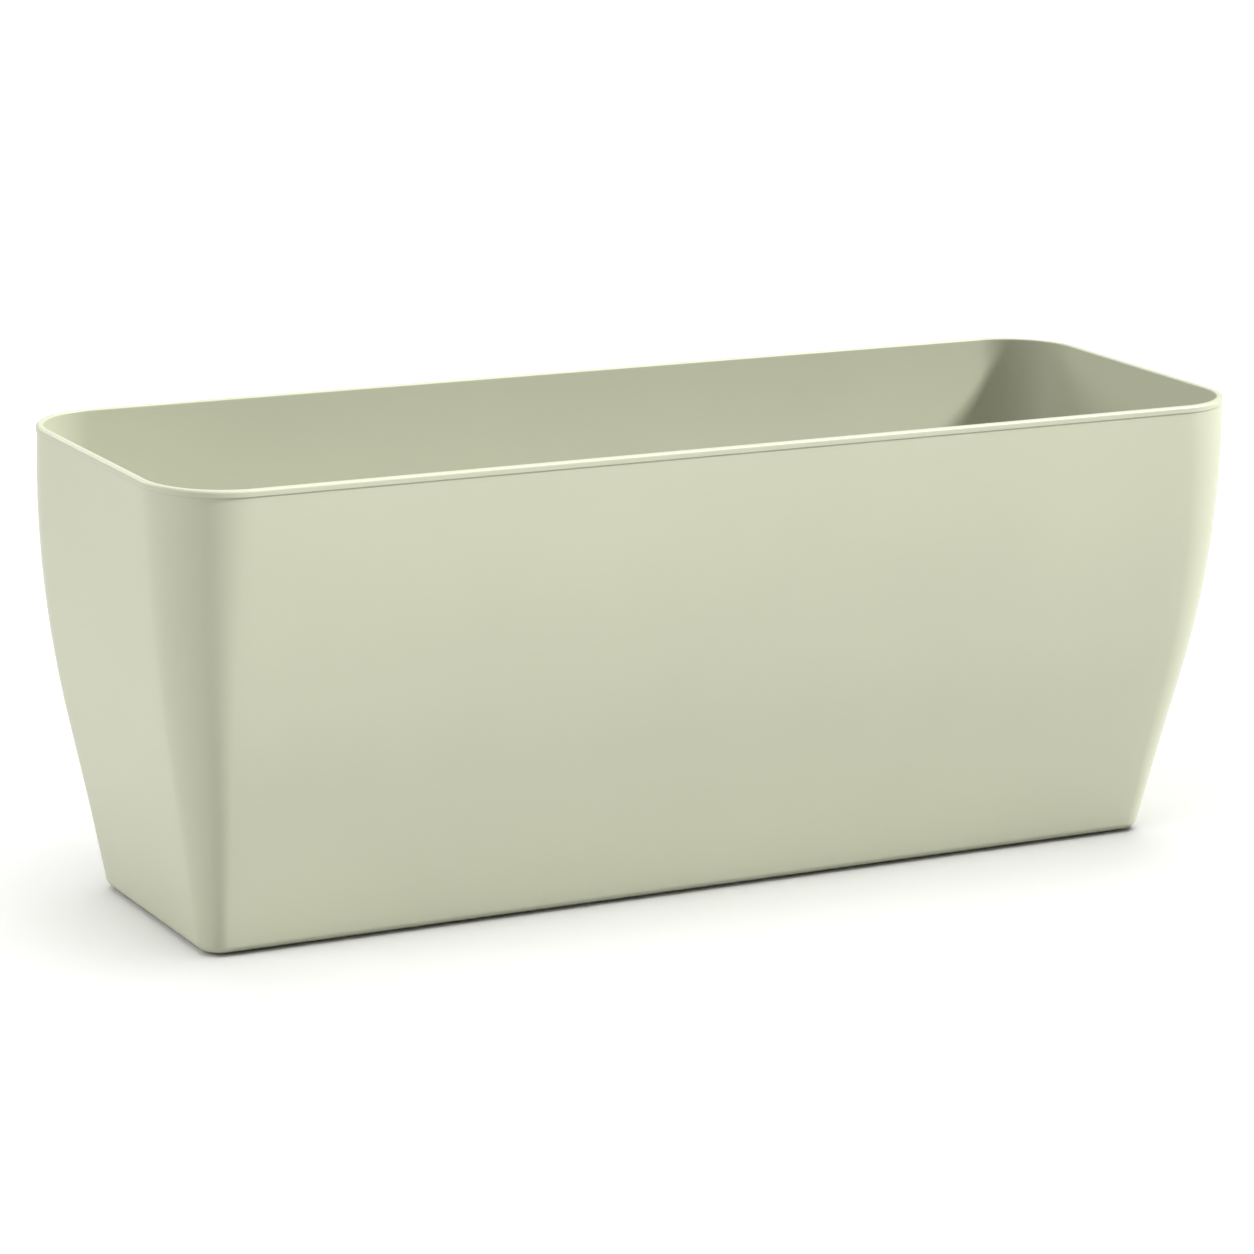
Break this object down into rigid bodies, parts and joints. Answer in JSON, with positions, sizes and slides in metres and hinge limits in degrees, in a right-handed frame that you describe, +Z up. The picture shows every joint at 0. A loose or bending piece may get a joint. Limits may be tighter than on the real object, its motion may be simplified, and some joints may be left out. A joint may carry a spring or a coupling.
{
  "type": "self watering planter",
  "caption": "Long tapered trough planter with rounded corners; a drop-in insert holds the soil above a water reservoir, with wicks, a filling tube and a float gauge.",
  "frame": {"origin": "centre of the footprint, on the surface that the foot pads stand on", "axes": "+X along the trough's length, -Y to the front, +Y to the back wall with the overflow ports, +Z up"},
  "size_m": [0.6, 0.205, 0.236],
  "materials": {
    "shell": "smooth satin matte, sage",
    "insert": "fine grained, charcoal",
    "tab": "fine grained, charcoal",
    "lid": "smooth satin matte, sage",
    "pin": "plain stainless",
    "window": "clear plastic",
    "float": "closed-cell foam",
    "rod": "smooth",
    "signal": "smooth, red",
    "seal": "soft rubber",
    "pad": "soft rubber",
    "felt": "needled felt"
  },
  "bodies": {
    "planter": {"planter_body": "shell", "foot_pad_front_left": "pad", "foot_pad_front_right": "pad", "foot_pad_back_left": "pad", "foot_pad_back_right": "pad"},
    "insert": {"reservoir_platform": "insert", "soil_basket_left": "insert", "soil_basket_middle": "insert", "soil_basket_right": "insert", "support_leg_front_left": "insert", "support_leg_front_mid_left": "insert", "support_leg_front_mid_right": "insert", "support_leg_front_right": "insert", "support_leg_back_left": "insert", "support_leg_back_mid_left": "insert", "support_leg_back_mid_right": "insert", "support_leg_back_right": "insert", "wick_strip_left": "felt", "wick_strip_right": "felt", "lift_tab_left": "tab", "lift_tab_right": "tab", "fill_tube": "insert", "fill_collar": "insert", "fill_funnel": "insert", "lid_hinge_pin": "pin", "gauge_tube": "insert", "gauge_collar": "insert", "gauge_window": "window", "float_cage": "insert"},
    "lid": {"fill_lid": "lid"},
    "gauge_float": {"water_float": "float", "float_rod": "rod", "indicator_tip": "signal"},
    "plug_left": {"overflow_plug_left": "seal"},
    "plug_right": {"overflow_plug_right": "seal"},
    "bung": {"drain_bung": "seal"}
  },
  "joints": [
    {"name": "insert_lift", "type": "slide", "parent": "planter", "child": "insert", "axis": [0, 0, 1], "range_m": [0, 0.25]},
    {"name": "fill_lid_hinge", "type": "hinge", "parent": "insert", "child": "lid", "pos_m": [-0.237, -0.018, 0.2046], "axis": [-1, 0, 0], "range_deg": [0, 105]},
    {"name": "float_rise", "type": "slide", "parent": "insert", "child": "gauge_float", "axis": [0, 0, 1], "range_m": [0, 0.026]},
    {"name": "plug_left_pull", "type": "slide", "parent": "planter", "child": "plug_left", "axis": [0, 0.9763, -0.2164], "range_m": [0, 0.02]},
    {"name": "plug_right_pull", "type": "slide", "parent": "planter", "child": "plug_right", "axis": [0, 0.9763, -0.2164], "range_m": [0, 0.02]},
    {"name": "drain_bung_pull", "type": "slide", "parent": "planter", "child": "bung", "axis": [0, 0, 1], "range_m": [0, 0.03]}
  ]
}
